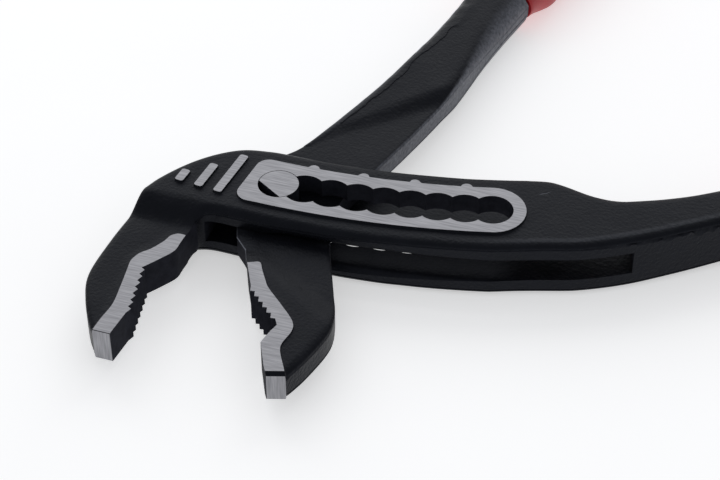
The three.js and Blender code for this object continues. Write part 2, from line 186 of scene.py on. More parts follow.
def smooth(points, spacing):
    """A centripetal Catmull-Rom curve through the points."""
    knots = np.array(points, float)
    knots = np.vstack([2 * knots[0] - knots[1], knots, 2 * knots[-1] - knots[-2]])
    gaps = np.sqrt(np.linalg.norm(np.diff(knots, axis=0), axis=1))
    pieces = []
    for i in range(1, len(knots) - 2):
        a, b, c, d = knots[i - 1:i + 3]
        before, here, after = gaps[i - 1:i + 2]
        leave = ((b - a) / before - (c - a) / (before + here) + (c - b) / here) * here
        arrive = ((c - b) / here - (d - b) / (here + after) + (d - c) / after) * here
        steps = max(1, round(np.linalg.norm(c - b) / spacing))
        t = np.linspace(0, 1, steps, endpoint=False)[:, None]
        pieces.append((2 * t**3 - 3 * t**2 + 1) * b + (t**3 - 2 * t**2 + t) * leave
                      + (3 * t**2 - 2 * t**3) * c + (t**3 - t**2) * arrive)
    return np.vstack(pieces + [knots[-2][None]])


def straight(points, spacing):
    """Straight lines through the points."""
    points = np.array(points, float)
    pieces = []
    for a, b in zip(points[:-1], points[1:]):
        steps = max(1, round(np.linalg.norm(b - a) / spacing))
        pieces.append(a + (b - a) * np.linspace(0, 1, steps, endpoint=False)[:, None])
    return np.vstack(pieces + [points[-1][None]])


def arc(centre, radius, start, end, spacing):
    """An arc from one angle to another."""
    angle = np.linspace(start, end, max(4, round(abs(end - start) * radius / spacing)) + 1)
    return np.array(centre) + radius * np.stack([np.cos(angle), np.sin(angle)], -1)


def joined(runs):
    """One closed loop of runs that share their end points."""
    points = np.vstack(runs)
    step = np.linalg.norm(points - np.roll(points, 1, axis=0), axis=1)
    return points[step > SAME_POINT]


def toothed(start, end, count, lean):
    """A row of saw teeth standing out to the left of the way from start to end."""
    start, end = np.array(start), np.array(end)
    step = (end - start) / count
    out = np.array([-step[1], step[0]]) / np.linalg.norm(step) * TOOTH_DEPTH
    return np.vstack([[start + step * i, start + step * (i + lean) + out] for i in range(count)] + [[end]])


def shifted(points, distance, closed):
    """A line moved to the right of its direction."""
    ahead = np.roll(points, -1, axis=0) - points
    behind = points - np.roll(points, 1, axis=0)
    if not closed:
        ahead[-1] = behind[-1]
        behind[0] = ahead[0]
    ahead /= np.linalg.norm(ahead, axis=1)[:, None]
    behind /= np.linalg.norm(behind, axis=1)[:, None]
    way = ahead + behind
    way /= np.linalg.norm(way, axis=1)[:, None]
    stretch = distance / np.maximum((way * ahead).sum(1), SHARPEST_SHIFT)
    return points + np.stack([way[:, 1], -way[:, 0]], -1) * stretch[:, None]


def distance_to(points, lines):
    """Least distance from each point to any of the lines."""
    starts = np.vstack([line[:-1] for line in lines])
    ways = np.vstack([line[1:] for line in lines]) - starts
    lengths = np.maximum((ways**2).sum(1), 1e-12)
    least = []
    for block in np.array_split(points, max(1, len(points) // BLOCK_SIZE)):
        gap = block[:, None] - starts
        share = np.clip((gap * ways).sum(2) / lengths, 0, 1)
        least.append(np.sqrt(((gap - share[..., None] * ways)**2).sum(2).min(1)))
    return np.concatenate(least)


def inside(points, loop):
    """Which of the points lie inside a closed loop."""
    ends = np.roll(loop, -1, axis=0)
    found = []
    for block in np.array_split(points, max(1, len(points) // BLOCK_SIZE)):
        x, y = block[:, 0, None], block[:, 1, None]
        spans = (loop[:, 1] > y) != (ends[:, 1] > y)
        rise = np.where(ends[:, 1] == loop[:, 1], 1, ends[:, 1] - loop[:, 1])
        crossing = loop[:, 0] + (y - loop[:, 1]) * (ends[:, 0] - loop[:, 0]) / rise
        found.append((spans & (x < crossing)).sum(1) % 2 == 1)
    return np.concatenate(found)


def eased(value, start, end):
    """From 0 to 1 between start and end, with soft ends."""
    t = np.clip((value - start) / (end - start), 0, 1)
    return t * t * (3 - 2 * t)


def linear(hex_colour):
    """sRGB hex to the linear colour that shaders take."""
    parts = [int(hex_colour[i:i + 2], 16) / 255 for i in (1, 3, 5)]
    return tuple(v / 12.92 if v <= 0.04045 else ((v + 0.055) / 1.055)**2.4 for v in parts) + (1.0,)


def add_node(material, kind, inputs, **settings):
    """Adds a node with its settings, and sets or links its inputs."""
    new = material.node_tree.nodes.new(kind)
    for name, value in settings.items():
        setattr(new, name, value)
    for name, value in inputs.items():
        if isinstance(value, bpy.types.NodeSocket):
            material.node_tree.links.new(value, new.inputs[name])
        else:
            new.inputs[name].default_value = value
    return new


def per_mm(size):
    """Pattern scale for features of a size in millimetres."""
    return 1 / (size * MM)


def new_material(name):
    """A material with its shader."""
    material = bpy.data.materials.new(name)
    material.use_nodes = True
    shader = material.node_tree.nodes["Principled BSDF"]
    return material, shader


# Blackened and lacquered forging: near black and satin, with the grain of a blasted forging under the film.
# A slow unevenness breaks up its highlights. It turns grey where it is rubbed, and the same grey is painted
# on as highlights and reflections on some edges and a flank. The real grain is too fine to show, so it is
# drawn coarser.
black_forging, shader = new_material("black_lacquered_forging")
where = add_node(black_forging, "ShaderNodeTexCoord", {}).outputs["Object"]
grain = add_node(black_forging, "ShaderNodeTexNoise",
                 {"Vector": where, "Scale": per_mm(0.8), "Detail": 3.0, "Roughness": 0.6})
mottle = add_node(black_forging, "ShaderNodeTexNoise",
                  {"Vector": where, "Scale": per_mm(5), "Detail": 4.0, "Roughness": 0.55})
tint = add_node(black_forging, "ShaderNodeValToRGB", {"Fac": mottle.outputs["Fac"]})
tint.color_ramp.elements[0].position = 0.3
tint.color_ramp.elements[0].color = linear("#0c0d11")
tint.color_ramp.elements[1].position = 0.75
tint.color_ramp.elements[1].color = linear("#121318")
# This attribute carries rubbed lacquer, and also painted highlights and reflections.
rubbed_and_sheen = add_node(black_forging, "ShaderNodeAttribute", {}, attribute_name="rubbed_and_sheen").outputs["Fac"]
patchy = add_node(black_forging, "ShaderNodeMapRange",
                  {"Value": grain.outputs["Fac"], "From Min": 0.3, "From Max": 0.7,
                   "To Min": 0.45, "To Max": 1.0})
# How far the grey shows, for rubbed lacquer and for painted highlights and reflections.
bare = add_node(black_forging, "ShaderNodeMath", {0: rubbed_and_sheen, 1: patchy.outputs["Result"]},
                operation="MULTIPLY")
skin_colour = add_node(black_forging, "ShaderNodeMix",
                       {0: bare.outputs["Value"], 6: tint.outputs["Color"], 7: linear(RUBBED_AND_SHEEN_COLOUR)},
                       data_type="RGBA")
dull = add_node(black_forging, "ShaderNodeMapRange",
                {"Value": mottle.outputs["Fac"], "From Min": 0.3, "From Max": 0.7,
                 "To Min": 0.36, "To Max": 0.44})
swell = add_node(black_forging, "ShaderNodeBump", {"Height": mottle.outputs["Fac"], "Distance": 0.05 * MM})
skin = add_node(black_forging, "ShaderNodeBump",
                {"Height": grain.outputs["Fac"], "Distance": 0.15 * MM, "Normal": swell.outputs["Normal"]})
for socket, value in {"Base Color": skin_colour.outputs[2], "Roughness": dull.outputs["Result"],
                      "Normal": skin.outputs["Normal"]}.items():
    black_forging.node_tree.links.new(value, shader.inputs[socket])
shader.inputs["Specular IOR Level"].default_value = 0.14
shader.inputs["Specular Tint"].default_value = linear("#e4ecff")

# Machined and oil-blackened steel, on the cut walls: bare of lacquer, so dull and even, with a faint
# cloudiness, and lighter grey along the corners of the tongue.
machined_steel, shader = new_material("oil_blackened_machined_steel")
where = add_node(machined_steel, "ShaderNodeTexCoord", {}).outputs["Object"]
clouding = add_node(machined_steel, "ShaderNodeTexNoise",
                    {"Vector": where, "Scale": per_mm(2), "Detail": 3.0, "Roughness": 0.6})
oxide = add_node(machined_steel, "ShaderNodeValToRGB", {"Fac": clouding.outputs["Fac"]})
oxide.color_ramp.elements[0].position = 0.3
oxide.color_ramp.elements[0].color = linear("#1f2026")
oxide.color_ramp.elements[1].position = 0.7
oxide.color_ramp.elements[1].color = linear("#292a31")
rubbed_and_sheen = add_node(machined_steel, "ShaderNodeAttribute", {}, attribute_name="rubbed_and_sheen").outputs["Fac"]
cut_wall_colour = add_node(machined_steel, "ShaderNodeMix",
                {0: rubbed_and_sheen, 6: oxide.outputs["Color"], 7: linear(RUBBED_AND_SHEEN_COLOUR)}, data_type="RGBA")
machined_steel.node_tree.links.new(cut_wall_colour.outputs[2], shader.inputs["Base Color"])
shader.inputs["Roughness"].default_value = 0.6
shader.inputs["Specular IOR Level"].default_value = 0.02

# Fine ground steel: pale grey metal with short straight grinding lines that stretch its highlights.
# The lines run along the broad faces and stand upright on the tips. Real ones are too fine to show, so they
# are drawn coarser.
ground_steel, shader = new_material("fine_ground_steel")
coordinates = add_node(ground_steel, "ShaderNodeTexCoord", {}).outputs
flat_way = add_node(ground_steel, "ShaderNodeMapping",
                    {"Vector": coordinates["Object"], "Rotation": (0, 0, GRINDING_HEADING),
                     "Scale": (GRINDING_STRETCH, 1, 1)})
upright_way = add_node(ground_steel, "ShaderNodeMapping",
                       {"Vector": coordinates["Object"], "Scale": (1, 1, GRINDING_STRETCH)})
flat_lines, upright_lines = [
    add_node(ground_steel, "ShaderNodeTexNoise",
             {"Vector": way.outputs["Vector"], "Scale": per_mm(0.35), "Detail": 2.0})
    for way in (flat_way, upright_way)]
up = add_node(ground_steel, "ShaderNodeSeparateXYZ", {"Vector": coordinates["Normal"]}).outputs["Z"]
level = add_node(ground_steel, "ShaderNodeMath", {0: up, 1: up}, operation="MULTIPLY")
lines = add_node(ground_steel, "ShaderNodeMix",
                 {0: level.outputs["Value"], 2: upright_lines.outputs["Fac"], 3: flat_lines.outputs["Fac"]},
                 data_type="FLOAT")
tone = add_node(ground_steel, "ShaderNodeValToRGB", {"Fac": lines.outputs[0]})
tone.color_ramp.elements[0].position = 0.3
tone.color_ramp.elements[0].color = linear("#86868a")
tone.color_ramp.elements[1].position = 0.7
tone.color_ramp.elements[1].color = linear("#a2a2a6")
score = add_node(ground_steel, "ShaderNodeBump", {"Height": lines.outputs[0], "Distance": 0.01 * MM})
ground_steel.node_tree.links.new(tone.outputs["Color"], shader.inputs["Base Color"])
ground_steel.node_tree.links.new(score.outputs["Normal"], shader.inputs["Normal"])
shader.inputs["Metallic"].default_value = 1.0
shader.inputs["Roughness"].default_value = 0.45


def waves(points, size, depth):
    """Slow unevenness of a forged skin."""
    return np.array([noise.noise(Vector((x / size, y / size, WAVE_SLICE))) for x, y in points]) * depth


def forged_solid(name, runs, holes, lands, shape, extra_lines=(), chamfers=(), extra_points=(), torn=None):
    """A solid alike on both faces, from a plan outline and a height over its middle plane.

    runs: (finish, points) round the outline; forged runs have rounded edges and a trimming groove below.
    lands: (top, edge line, region) of the raised areas that are ground bright.
    shape: gives the forged height, and the width and drop of its rounded edge, at plan points.
    extra_lines, extra_points: further plan lines and points that the mesh follows.
    chamfers: (edge line, width, drop) of corners that are taken off and left black.
    torn: gives how far the trimming groove is torn, from 0 to 1, at plan points.
    """
    outline = joined([points for _, points in runs])
    forged = [points for finish, points in runs if finish == "forged"]

    def height(points):
        top, width, drop = shape(points)
        if forged:
            near = np.clip(1 - distance_to(points, forged) / width, 0, 1)
            top = top - drop * (1 - np.sqrt(1 - near**2))
        for land_top, edge, region in lands:
            away = np.where(inside(points, region), 0, distance_to(points, [edge]))
            top = top + (land_top - top) * np.clip(1 - away / LAND_ROWS[-1], 0, 1)**4
        for edge, width, drop in chamfers:
            top = top - drop * np.clip(1 - distance_to(points, [edge]) / width, 0, 1)
        return top

    lines = [(outline, True)] + [(hole, True) for hole in holes] + [(line, False) for line in extra_lines]
    lines += [(shifted(edge, -width, False), False) for edge, width, _ in chamfers]
    for _, edge, _ in lands:
        looped = bool(np.allclose(edge[0], edge[-1]))
        base = edge[:-1] if looped else edge
        lines += [(shifted(base, row, looped), looped) for row in LAND_ROWS]
    places, ties = [], []
    for line, looped in lines:
        first = sum(len(block) for block in places)
        order = list(range(first, first + len(line)))
        ties += list(zip(order, order[1:] + order[:1] if looped else order[1:]))
        places.append(line)
    drawn = [np.vstack([line, line[:1]]) if looped else line for line, looped in lines]
    for row in EDGE_ROWS:
        if forged:
            loose = np.vstack([shifted(points, -row, False) for points in forged])
            clear = distance_to(loose, [np.vstack([outline, outline[:1]])]) > ROW_CLEARANCE * row
            loose = loose[clear & inside(loose, outline)]
            places.append(loose[distance_to(loose, drawn[1:]) > POINT_CLEARANCE] if drawn[1:] else loose)
    for loose in extra_points:
        loose = loose[inside(loose, outline)]
        places.append(loose[distance_to(loose, drawn) > POINT_CLEARANCE])
    low, high = outline.min(0), outline.max(0)
    columns = np.arange(low[0], high[0], FILL_SPACING)
    grid = [np.stack([columns + FILL_SPACING / 2 * (i % 2), np.full(len(columns), y)], -1)
            for i, y in enumerate(np.arange(low[1], high[1], FILL_SPACING * FILL_ROW_SHARE))]
    grid = np.vstack(grid)
    grid = grid[inside(grid, outline)]
    near = EDGE_ROWS[-1] if forged else RIM_CLEARANCE
    grid = grid[distance_to(grid, drawn[:1]) > near]
    grid = grid[distance_to(grid, drawn) > GRID_CLEARANCE]
    if len(extra_points):
        grid = grid[distance_to(grid, list(extra_points)) > GRID_CLEARANCE]
    places.append(grid)
    flat = np.vstack(places)
    found = geometry.delaunay_2d_cdt([Vector(p) for p in flat], ties, [], 0, 1e-5)
    plan = np.array([tuple(p) for p in found[0]])
    faces = np.array(found[2])
    middles = plan[faces].mean(1)
    keep = inside(middles, outline)
    for hole in holes:
        keep &= ~inside(middles, hole)
    faces, middles = faces[keep], middles[keep]
    a, b, c = plan[faces[:, 0]], plan[faces[:, 1]], plan[faces[:, 2]]
    area = (b[:, 0] - a[:, 0]) * (c[:, 1] - a[:, 1]) - (b[:, 1] - a[:, 1]) * (c[:, 0] - a[:, 0])
    faces[area < 0] = faces[area < 0][:, ::-1]
    used, faces = np.unique(faces, return_inverse=True)
    faces = faces.reshape(-1, 3)
    plan = plan[used]
    tops = height(plan)

    sides = np.vstack([faces[:, [0, 1]], faces[:, [1, 2]], faces[:, [2, 0]]])
    twins = {(a, b) for a, b in sides.tolist()}
    rim = np.array([(a, b) for a, b in sides.tolist() if (b, a) not in twins])
    middle_of = (plan[rim[:, 0]] + plan[rim[:, 1]]) / 2
    gaps = np.stack([distance_to(middle_of, [points]) for _, points in runs] +
                    [distance_to(middle_of, [np.vstack([hole, hole[:1]])]) for hole in holes], -1)
    finishes = [finish for finish, _ in runs] + ["cut"] * len(holes)
    rim_finish = [finishes[i] for i in gaps.argmin(1)]
    inward = np.zeros_like(plan)
    grooved = np.ones(len(plan))
    for (start, end), finish in zip(rim.tolist(), rim_finish):
        way = plan[end] - plan[start]
        inward[[start, end]] += np.array([-way[1], way[0]]) / max(np.linalg.norm(way), 1e-9)
        if finish != "forged":
            grooved[[start, end]] = 0
    inward /= np.maximum(np.linalg.norm(inward, axis=1), 1e-9)[:, None]

    count = len(plan)
    vertices = [np.column_stack([plan, tops]), np.column_stack([plan, -tops])]
    edge_vertices = np.unique(rim)
    place = {v: i for i, v in enumerate(edge_vertices.tolist())}
    levels = [(depth, inset, 1) for depth, inset in GROOVE_ROWS[1:]]
    levels += [(depth, inset, -1) for depth, inset in reversed(GROOVE_ROWS[1:])]
    rim_plan, rim_tops = plan[edge_vertices], tops[edge_vertices]
    tear = torn(rim_plan) if torn else np.zeros(len(rim_plan))
    for depth, inset, sign in levels:
        torn_here = tear * (sign > 0)
        ragged = torn_here * (1 + waves(rim_plan + TEAR_OFFSET, TEAR_SIZE, TEAR_WAVE))
        inset = (inset + TEAR_INSET * ragged * (inset > 0)) * grooved[edge_vertices]
        uneven = 1 + waves(rim_plan - TEAR_OFFSET, TEAR_SIZE, TEAR_WAVE)
        lowered = depth + TEAR_DEPTH * torn_here * uneven * (depth > GROOVE_ROWS[1][0])
        moved = rim_plan + inward[edge_vertices] * inset[:, None]
        vertices.append(np.column_stack([moved, sign * (rim_tops - lowered)]))
    vertices = np.vstack(vertices)
    rows = [lambda v, k=k: 2 * count + k * len(edge_vertices) + place[v] for k in range(len(levels))]
    rows = [lambda v: v] + rows + [lambda v: count + v]
    polygons = faces.tolist() + (faces[:, ::-1] + count).tolist()
    bright = np.zeros(len(middles), bool)
    for _, _, region in lands:
        bright |= inside(middles, region)
    for edge, width, _ in chamfers:
        bright &= distance_to(middles, [edge]) > width
    metal = bright.astype(int).tolist() * 2
    for (start, end), finish in zip(rim.tolist(), rim_finish):
        for upper, lower in zip(rows[:-1], rows[1:]):
            polygons.append((lower(start), lower(end), upper(end), upper(start)))
            metal.append(FINISHES.index(finish))
    mesh = bpy.data.meshes.new(name)
    mesh.from_pydata(((vertices + (0, 0, MIDDLE)) * MM).tolist(), [], polygons)
    for material in (black_forging, ground_steel, machined_steel):
        mesh.materials.append(material)
    mesh.polygons.foreach_set("material_index", metal)
    mesh.validate()
    piece = bpy.data.objects.new(name, mesh)
    bpy.context.scene.collection.objects.link(piece)
    return piece


def rub_and_sheen(piece, share):
    """Keeps how far each point turns grey, for rubbed lacquer and painted highlights, from its plan place and
    height.
    """
    places = np.empty(len(piece.data.vertices) * 3)
    piece.data.vertices.foreach_get("co", places)
    places = places.reshape(-1, 3) / MM
    layer = piece.data.attributes.new("rubbed_and_sheen", "FLOAT", "POINT")
    layer.data.foreach_set("value", share(places[:, :2], places[:, 2] - MIDDLE).astype(np.float32))


def shade(piece):
    """Smooth shading that stops at real edges."""
    piece.data.shade_smooth()
    piece.data.set_sharp_from_angle(angle=SHARP_ANGLE)


def handle_line(start, heading, bow):
    """Centre line of a grip, from the end of the shank, bowed away from the other handle."""
    way = np.array([math.cos(heading), math.sin(heading)])
    side = np.array([way[1], -way[0]]) * bow
    return smooth([start, start + way * GRIP_LENGTH / 2 + side, start + way * GRIP_LENGTH], HANDLE_SPACING)


def tang_run(line, shank_width):
    """The way round the tang that sits in the grip, from one shoulder of the shank to the other."""
    ahead = (line[1] - line[0]) / np.linalg.norm(line[1] - line[0])
    left = np.array([-ahead[1], ahead[0]])
    reach = len(line) - round(GRIP_END_WALL + TANG_WIDTH / 2)
    body = line[:reach]
    right_side = shifted(body, TANG_WIDTH / 2, False)
    left_side = shifted(body, -TANG_WIDTH / 2, False)
    way = body[-1] - body[-2]
    heading = math.atan2(way[1], way[0])
    end = arc(body[-1], TANG_WIDTH / 2, heading - math.pi / 2, heading + math.pi / 2, TANG_SPACING)
    shoulders = [line[0] - left * shank_width / 2, line[0] + left * shank_width / 2]
    run = np.vstack([shoulders[:1], right_side[::TANG_EVERY], end[1:-1],
                     left_side[::-TANG_EVERY], shoulders[1:]])
    return run, shoulders, ahead


slotted_start = past_channel([SHANK_END])[0]
slotted_heading = TRAVEL / CHANNEL_RADIUS + SLOTTED_HANDLE_ANGLE
slotted_line = handle_line(slotted_start, slotted_heading, HANDLE_BOW)
slotted_tang, slotted_shoulders, slotted_way = tang_run(slotted_line, SHANK_WIDTH)
near_band = on_channel(np.linspace(NEAR_BAND_START, TRAVEL, BAND_POINTS), -BOX_EDGE)
far_band = on_channel(np.linspace(TRAVEL + FAR_BAND_PAST, 0, BAND_POINTS), BOX_EDGE)
near_shank = past_channel([(along, inset - BOX_EDGE) for along, inset in SHANK_NEAR])
far_shank = past_channel([(along, BOX_EDGE - inset) for along, inset in SHANK_FAR])
fixed_teeth = toothed(FIXED_GRIP_HIGH[0], FIXED_GRIP_LOW[-1], FIXED_TEETH, TOOTH_LEAN)[::-1]
fixed_tip_line = straight([FIXED_TIP, FIXED_GRIP_LOW[0]], RIM_SPACING)
near_shank_line = smooth([near_band[-1], *near_shank, slotted_shoulders[0]], RIM_SPACING)
slotted_runs = [
    ("ground", fixed_tip_line),
    ("cut", np.vstack([straight(FIXED_GRIP_LOW, RIM_SPACING), fixed_teeth[1:],
                       smooth(FIXED_GRIP_HIGH, RIM_SPACING)[1:]])),
    ("cut", smooth(JAW_ROOT, RIM_SPACING)),
    ("forged", smooth([JAW_ROOT[-1], *HEAD_CORNER, near_band[0]], RIM_SPACING)),
    ("forged", near_band),
    ("forged", near_shank_line),
    ("cut", slotted_tang),
    ("forged", smooth([slotted_shoulders[1], *far_shank, far_band[0]], RIM_SPACING)),
    ("forged", far_band),
    ("forged", smooth(HEAD_SIDE, RIM_SPACING)),
    ("forged", smooth(FIXED_BACK, RIM_SPACING)),
]


def channel_loop():
    """The scalloped channel: one round bite for each position of the pin."""
    reach = math.acos(PITCH / 2 / HOLE_RADIUS)
    lean = PITCH / CHANNEL_RADIUS / 2
    near, far = [], []
    for k in range(POSITIONS):
        tilt = k * PITCH / CHANNEL_RADIUS
        centre = on_channel(k * PITCH, 0)
        first, last = k == 0, k == POSITIONS - 1
        near.append(arc(centre, HOLE_RADIUS, tilt - math.pi + (0 if first else reach - lean),
                        tilt - (0 if last else reach - lean), ROUND_SPACING))
        far.append(arc(centre, HOLE_RADIUS, tilt + (0 if last else reach + lean),
                       tilt + math.pi - (0 if first else reach + lean), ROUND_SPACING))
    return joined(near + far[::-1])


def closed(loop):
    """The loop with its first point again at the end."""
    return np.vstack([loop, loop[:1]])


def ring_loop():
    """Outer edge of the ground ring, with a small mark beside every second position."""
    corner = RING_EDGE - RING_CORNER
    shift = corner * math.tan(BAR_LEAN)
    turn = TRAVEL / CHANNEL_RADIUS
    along = np.arange(TRAVEL, 0, -MARK_SPACING)
    rise = np.zeros(len(along))
    for k in range(1, POSITIONS - 1, MARK_EVERY):
        share = np.clip(1 - ((along - k * PITCH) / MARK_HALF_WIDTH)**2, 0, 1)
        rise = np.maximum(rise, MARK_RISE * np.sqrt(share))
    angle = along / CHANNEL_RADIUS
    radius = CHANNEL_RADIUS - RING_EDGE - rise
    far_side = np.stack([radius * np.sin(angle), CHANNEL_RADIUS - radius * np.cos(angle)], -1)
    return joined([
        arc((-corner + shift, corner), RING_CORNER, math.pi / 2, math.pi - BAR_LEAN, ROUND_SPACING),
        arc((-corner - shift, -corner), RING_CORNER, math.pi - BAR_LEAN, math.pi * 1.5, ROUND_SPACING),
        on_channel(np.linspace(0, TRAVEL, RING_POINTS), -RING_EDGE),
        arc(on_channel(TRAVEL, 0), RING_EDGE, turn - math.pi / 2, turn + math.pi / 2, STRIP_SPACING),
        far_side,
    ])


def bar_loop(index):
    """One raised bar on the head, with small round corners."""
    inner = BAR_WIDTH / 2 - BAR_CORNER
    length = BAR_LENGTHS[index]
    corners = [((inner, BAR_CORNER), -0.5), ((inner, length - BAR_CORNER), 0),
               ((-inner, length - BAR_CORNER), 0.5), ((-inner, BAR_CORNER), 1)]
    loop = np.vstack([arc(centre, BAR_CORNER, math.pi * quarter, math.pi * (quarter + 0.5),
                          BAR_CORNER_SPACING) for centre, quarter in corners])
    turned = np.stack([loop[:, 0] * math.cos(BAR_LEAN) + loop[:, 1] * math.sin(BAR_LEAN),
                       loop[:, 1] * math.cos(BAR_LEAN) - loop[:, 0] * math.sin(BAR_LEAN)], -1)
    return turned + (-RING_EDGE - BAR_SPACING * (index + 1), -BAR_FOOT + BAR_FOOT_STEP * index)


def slotted_shape(points):
    """Plate, sloping down to the thinner jaw, and tapering to the shank and its tang."""
    x, y = points.T
    top = PLATE_TOP - (PLATE_TOP - JAW_TOP) * eased(-y, HEAD_RAMP_START, HEAD_RAMP_END)
    heading = math.atan2(slotted_start[1], slotted_start[0])
    along = x * math.cos(heading) + y * math.sin(heading)
    full = np.linalg.norm(slotted_start)
    tapered = np.clip((along - TRAVEL - WINDOW_END) / (full - TRAVEL - WINDOW_END), 0, 1)
    top = top - (PLATE_TOP - SHANK_TOP) * tapered
    past = (points - slotted_start) @ slotted_way
    top = np.where(past > SHOULDER, TANG_TOP, top + waves(points, SKIN_WAVE_SIZE, SLOTTED_SKIN_WAVE))
    return top, np.full(len(x), EDGE_WIDTH), np.where(past > SHOULDER, 0, EDGE_DROP)


def shoulder_lines(shoulders, way):
    """Two lines across the end of a shank, close together, where it steps down to its tang."""
    return [np.array([shoulders[0] + way * step, shoulders[1] + way * step]) for step in SHOULDER_STEPS]


channel = channel_loop()
ring = ring_loop()
fixed_strip = smooth(FIXED_STRIP, STRIP_SPACING)
slotted_lands = [(RING_TOP, closed(ring), ring)]
slotted_lands += [(RING_TOP, closed(bar_loop(i)), bar_loop(i)) for i in range(len(BAR_LENGTHS))]
slotted_lands.append((STRIP_TOP, fixed_strip[::-1], np.vstack([fixed_strip, FIXED_STRIP_GAP])))
scratch_line = straight(SCRATCH, SCRATCH_SPACING)


def slotted_torn(points):
    """The near side of the shank was trimmed raggedly."""
    near = distance_to(points, [near_shank_line]) < RIM_CLEARANCE
    return near * eased(points[:, 0], *TORN_FROM)


def slotted_scratch_and_highlight(points, height):
    """A painted highlight: a faint light line where the plate turns down to its near edge. One scratch on the
    upper face.
    """
    away = distance_to(points, [near_shank_line, near_band])
    # The painted highlight line.
    line = np.exp(-((away - EDGE_WIDTH) / PAINTED_EDGE_HIGHLIGHT_WIDTH)**2) * eased(points[:, 0], *PAINTED_EDGE_HIGHLIGHT_FROM)
    line = line * (np.abs(height) > WINDOW_TOP + WINDOW_MOUTH)
    scratch = np.clip(1 - distance_to(points, [scratch_line]) / SCRATCH_HALF_WIDTH, 0, 1) * (height > 0)
    return np.maximum(PAINTED_EDGE_HIGHLIGHT * line, scratch)


scratch_lines = [shifted(scratch_line, side * SCRATCH_HALF_WIDTH, False) for side in (-1, 0, 1)]
slotted_half = forged_solid("slotted_half_forging", slotted_runs, [channel], slotted_lands, slotted_shape,
                            shoulder_lines(slotted_shoulders, slotted_way) + scratch_lines,
                            [(fixed_tip_line, *FIXED_TIP_CHAMFER)], torn=slotted_torn)

window_across = 2 * BOX_EDGE
window_corners = past_channel([(WINDOW_END, -window_across), (WINDOW_END, window_across)])
window_foot = (WINDOW_START, -window_across)
window_head = (WINDOW_START + WINDOW_LEAN, window_across)
window_run = straight([window_foot, *window_corners, window_head, window_foot], WALL_SPACING)
slotted_outline = joined([points for _, points in slotted_runs])
mouth = np.vstack([near_band, near_shank_line[1:]])
mouth = mouth[mouth[:, 0] < WINDOW_MOUTH_END[1] + WINDOW_MOUTH_PAST]


def window_shape(points):
    """The gap between the cheeks, with a rounded mouth."""
    within = inside(points, slotted_outline) | (points[:, 1] > 0)
    depth = np.where(within, distance_to(points, [mouth]), 0)
    flare = 1 - np.sqrt(1 - np.clip(1 - depth / WINDOW_MOUTH, 0, 1)**2)
    share = eased(points[:, 0], *WINDOW_MOUTH_START) * (1 - eased(points[:, 0], *WINDOW_MOUTH_END))
    return WINDOW_TOP + WINDOW_MOUTH * flare * share, np.ones(len(points)), np.zeros(len(points))


window_region = joined([window_run])
# The rows lie between the wall's own points, so that the cut leaves no slivers.
mouth_line = (mouth[1:] + mouth[:-1]) / 2
window_rows = [shifted(mouth_line, -row, False) for row in WINDOW_MOUTH_ROWS]
window = forged_solid("window_cutter", [("cut", closed(window_region))], [], [], window_shape, window_rows)
cut = slotted_half.modifiers.new("window", "BOOLEAN")
cut.object = window
cut.operation = "DIFFERENCE"
cut.solver = "MANIFOLD"
bpy.context.view_layer.update()
evaluated = slotted_half.evaluated_get(bpy.context.evaluated_depsgraph_get())
cut_mesh = bpy.data.meshes.new_from_object(evaluated)
slotted_half.modifiers.clear()
slotted_half.data = cut_mesh
bpy.data.objects.remove(window)
shade(slotted_half)
rub_and_sheen(slotted_half, slotted_scratch_and_highlight)

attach(slotted_half, "slotted_body")
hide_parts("slotted_half")

# Inner half
# The second drop forging: moving jaw, thin tongue that passes through the box, ramp and the other handle.
# Same black lacquer; only the strip beside its teeth and its tip are ground bright.
TONGUE_TOP = 2.6
BOSS_RADIUS = 9.7
BORE_RADIUS = 4.8
RAMP_FOOT = 12.05
JAW_RAMP_RUN = 6.0
JAW_RAMP_TURNS = (-math.radians(32), math.radians(36))
HANDLE_RAMP_HEADING = math.radians(133.8)
HANDLE_RAMP_FOOT = 14.4
HANDLE_RAMP_RUN = (4.4, 5.4)
HANDLE_RAMP_TOP = (3.2, 4.35)
HANDLE_RAMP_ENDS = (22.9, 49.0)
INNER_SHANK_TOP = 5.5
INNER_SHANK_WIDTH = 15.0
INNER_START = np.array([26.4, 94.2])
INNER_HEADING = math.radians(72.6)
MOVING_TEETH = 6
MOVING_GRIP_HIGH = [(1.1, -23.1), (4.4, -29.7)]
MOVING_GRIP_LOW = [(12.7, -37.5), (13.7, -39.2), (13, -41.3), (12.2, -45), (15.2, -51.3), (16.4, -53.3)]
MOVING_TIP = (20.2, -52.1)
MOVING_BACK = [MOVING_TIP, (22.4, -45.9), (24.4, -36), (23.3, -30), (21.6, -25.7), (18.3, -17.5), (16, -11.9)]
MOVING_STRIP_TOP = [(-0.2, -23.5), (0.9, -23.05), (3.0, -22.1), (3.6, -22.05), (4.05, -22.5)]
MOVING_STRIP = [(4.05, -22.5), (5.0, -24.3), (6.8, -27.2), (7.7, -28.6), (12.3, -33), (16.1, -36.8),
                (17, -38.4), (17.2, -40.2), (16.5, -44.2), (16.8, -45.9), (19.3, -50.6), (20.6, -53)]
MOVING_STRIP_GAP = [(14, -56), (4, -46)]
TONGUE_LEFT = [(-4.6, -14.5), (-1.2, -18)]
TONGUE_RIGHT = [(16, -11.9), (13.2, -2), (14, 8), (17, 16)]
HANDLE_RIGHT = [(17, 16), (22, 33.5), (25.9, 49.7), (29, 68.7)]
HANDLE_LEFT = [(14.6, 68.7), (9.7, 49.7), (4.5, 34.5), (-1.6, 19.4), (-4.4, 15.6)]
BOSS_SPAN = (math.pi * 0.78, math.pi * 1.2)
HANDLE_RISE = (3, 38)
INNER_DROP = 0.3
INNER_DROP_RISE = 0.8
INNER_DROP_MOST = 1.7
